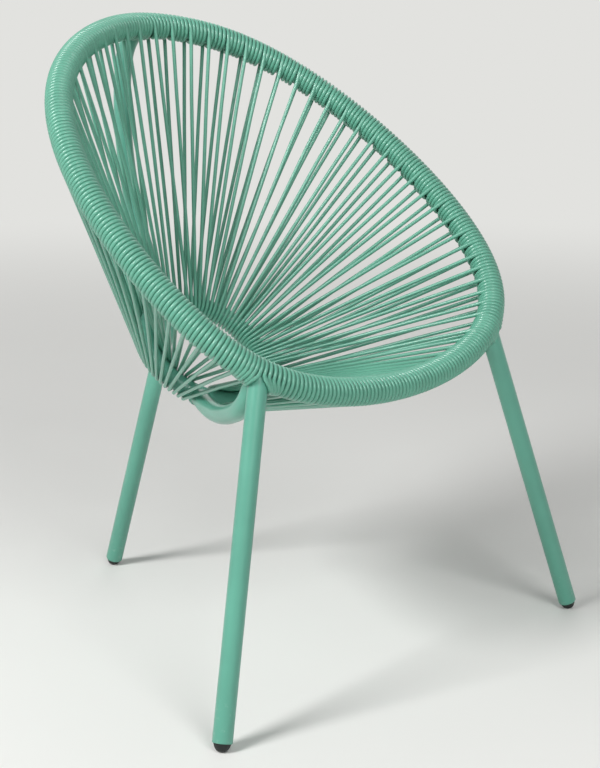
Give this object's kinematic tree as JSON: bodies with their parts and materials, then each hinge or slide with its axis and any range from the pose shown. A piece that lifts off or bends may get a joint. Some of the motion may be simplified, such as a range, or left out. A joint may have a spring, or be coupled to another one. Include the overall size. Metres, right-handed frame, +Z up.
{
  "type": "acapulco chair",
  "caption": "Round-backed garden chair: an egg-shaped tubular steel hoop on splayed legs, strung with one plastic cord wound round the hoop and led down to a small ring.",
  "frame": {"origin": "centre of the bounding box, on the floor under the chair", "axes": "+Z up and the longest extent, the chair faces -Y, its left side is at -X, and Y is the shortest extent"},
  "size_m": [0.7088, 0.6466, 0.8428],
  "materials": {
    "painted_frame": "satin powder coat",
    "seat_cord": "semi-gloss extruded cord",
    "foot_cap": "matte"
  },
  "bodies": {
    "root": {"hoop_tube": "painted_frame", "seat_ring": "painted_frame", "right_front_leg": "painted_frame", "left_front_leg": "painted_frame", "rear_leg": "painted_frame", "right_front_strut": "painted_frame", "left_front_strut": "painted_frame", "back_strut": "painted_frame", "right_front_foot": "foot_cap", "left_front_foot": "foot_cap", "rear_foot": "foot_cap", "cord_front_1": "seat_cord", "cord_front_2": "seat_cord", "cord_front_3": "seat_cord", "cord_front_4": "seat_cord", "cord_front_5": "seat_cord", "cord_right_1": "seat_cord", "cord_right_2": "seat_cord", "cord_right_3": "seat_cord", "cord_right_4": "seat_cord", "cord_right_5": "seat_cord", "cord_right_6": "seat_cord", "cord_right_7": "seat_cord", "cord_right_8": "seat_cord", "cord_right_9": "seat_cord", "cord_left_1": "seat_cord", "cord_left_2": "seat_cord", "cord_left_3": "seat_cord", "cord_left_4": "seat_cord", "cord_left_5": "seat_cord", "cord_left_6": "seat_cord", "cord_left_7": "seat_cord", "cord_left_8": "seat_cord", "cord_left_9": "seat_cord"}
  },
  "joints": []
}
